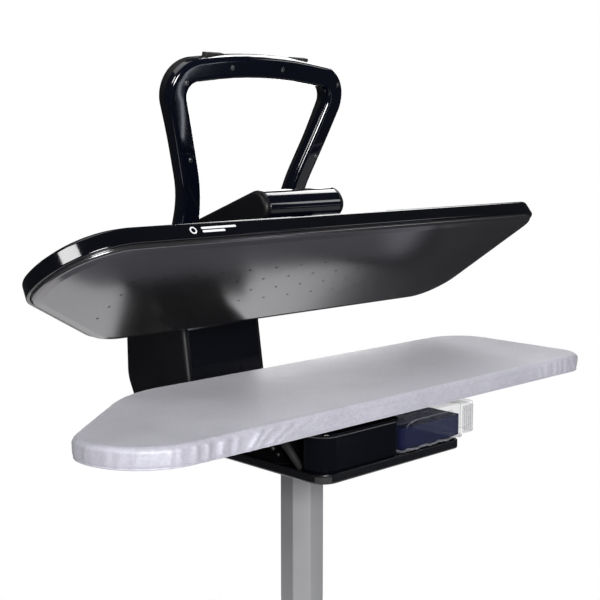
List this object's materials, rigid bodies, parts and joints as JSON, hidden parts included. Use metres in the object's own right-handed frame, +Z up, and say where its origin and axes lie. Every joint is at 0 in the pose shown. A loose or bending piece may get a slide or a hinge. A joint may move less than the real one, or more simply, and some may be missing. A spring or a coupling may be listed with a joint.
{
  "type": "steam ironing press",
  "caption": "Steam ironing press on a pedestal stand: padded board, hinged heated head with loop handle, pull-out water tank and height-adjustable column.",
  "frame": {"origin": "on the floor, on the axis of the column", "axes": "+Z up; +X along the ironing board towards its square end; -Y towards the user"},
  "size_m": [0.805, 0.64, 1.2882],
  "materials": {
    "gloss_black": "high gloss moulded",
    "matt_black": "fine grained moulded",
    "rubber": "matt",
    "silver_paint": "satin silver powder coat",
    "sole": "non-stick satin coat",
    "cast_metal": "as cast",
    "steel": "zinc plated",
    "cloth": "silvered cotton weave",
    "foam": "felted padding",
    "clear_blue": "clear tinted plastic",
    "circuit": "circuit laminate",
    "brass": "turned"
  },
  "bodies": {
    "stand": {"runner_left": "silver_paint", "runner_cap_front_left": "matt_black", "foot_front_left": "rubber", "runner_cap_rear_left": "matt_black", "foot_rear_left": "rubber", "runner_right": "silver_paint", "runner_cap_front_right": "matt_black", "foot_front_right": "rubber", "runner_cap_rear_right": "matt_black", "foot_rear_right": "rubber", "crossbar": "silver_paint", "column_socket": "silver_paint", "column_sleeve": "silver_paint", "column_collar": "matt_black"},
    "height_knob": {"height_knob": "matt_black"},
    "press_base": {"column_tube": "silver_paint", "column_flange": "steel", "base_tray": "matt_black", "corner_bumper": "rubber", "front_housing": "gloss_black", "body_housing": "matt_black", "water_pump": "cast_metal", "power_board": "circuit", "transformer": "cast_metal", "water_hose": "rubber", "cable_gland": "rubber", "hinge_bracket_left": "steel", "hinge_bracket_right": "steel", "torsion_spring_left": "steel", "torsion_spring_right": "steel", "hinge_pin": "steel", "board_panel": "matt_black", "board_pad": "foam", "board_cover": "cloth", "board_rail_front": "matt_black", "board_rail_rear": "matt_black"},
    "power_switch": {"power_switch": "matt_black"},
    "tank": {"water_tank": "clear_blue", "tank_filter": "foam"},
    "tank_cap": {"tank_cap": "rubber"},
    "head": {"sole_plate": "sole", "heat_shield": "cast_metal", "steam_chamber": "cast_metal", "heating_element": "steel", "thermostat": "brass", "head_casing": "gloss_black", "arm_panel_left": "matt_black", "arm_panel_right": "matt_black", "nose_cover": "gloss_black", "arm_top_cover": "gloss_black", "arm_front_cover": "gloss_black", "arm_frame": "steel", "control_board": "circuit"},
    "handle": {"handle_front_shell": "gloss_black", "handle_rear_shell": "matt_black", "handle_shaft": "steel", "pressure_cam_left": "cast_metal", "pressure_cam_right": "cast_metal"},
    "steam_button_left": {"steam_button_left": "rubber"},
    "steam_button_right": {"steam_button_right": "rubber"}
  },
  "joints": [
    {"name": "column_slide", "type": "slide", "parent": "stand", "child": "press_base", "axis": [0, 0, 1], "range_m": [-0.1, 0.1]},
    {"name": "height_knob_turn", "type": "hinge", "parent": "stand", "child": "height_knob", "pos_m": [0, -0.055, 0.51], "axis": [0, 1, 0], "range_deg": [0, 360]},
    {"name": "head_hinge", "type": "hinge", "parent": "press_base", "child": "head", "pos_m": [0, 0.173, 0.833], "axis": [1, 0, 0], "range_deg": [0, 34], "stiffness_Nm_per_rad": 19, "springref_deg": -57.3},
    {"name": "handle_lever", "type": "hinge", "parent": "head", "child": "handle", "pos_m": [0, 0.1399, 1.01421], "axis": [1, 0, 0], "range_deg": [0, 30], "stiffness_Nm_per_rad": 4, "springref_deg": -28.65},
    {"name": "steam_button_left_slide", "type": "slide", "parent": "handle", "child": "steam_button_left", "axis": [0, 0.2368, -0.9715], "range_m": [0, 0.003], "stiffness_N_per_m": 600, "springref_m": -0.002},
    {"name": "steam_button_right_slide", "type": "slide", "parent": "handle", "child": "steam_button_right", "axis": [0, 0.2368, -0.9715], "range_m": [0, 0.003], "stiffness_N_per_m": 600, "springref_m": -0.002},
    {"name": "tank_slide", "type": "slide", "parent": "press_base", "child": "tank", "axis": [1, 0, 0], "range_m": [0, 0.12]},
    {"name": "tank_cap_lift", "type": "slide", "parent": "tank", "child": "tank_cap", "axis": [0, 0, 1], "range_m": [0, 0.008]},
    {"name": "power_rocker", "type": "hinge", "parent": "press_base", "child": "power_switch", "pos_m": [0.128, 0, 0.814], "axis": [0, 1, 0], "range_deg": [0, 14]}
  ]
}
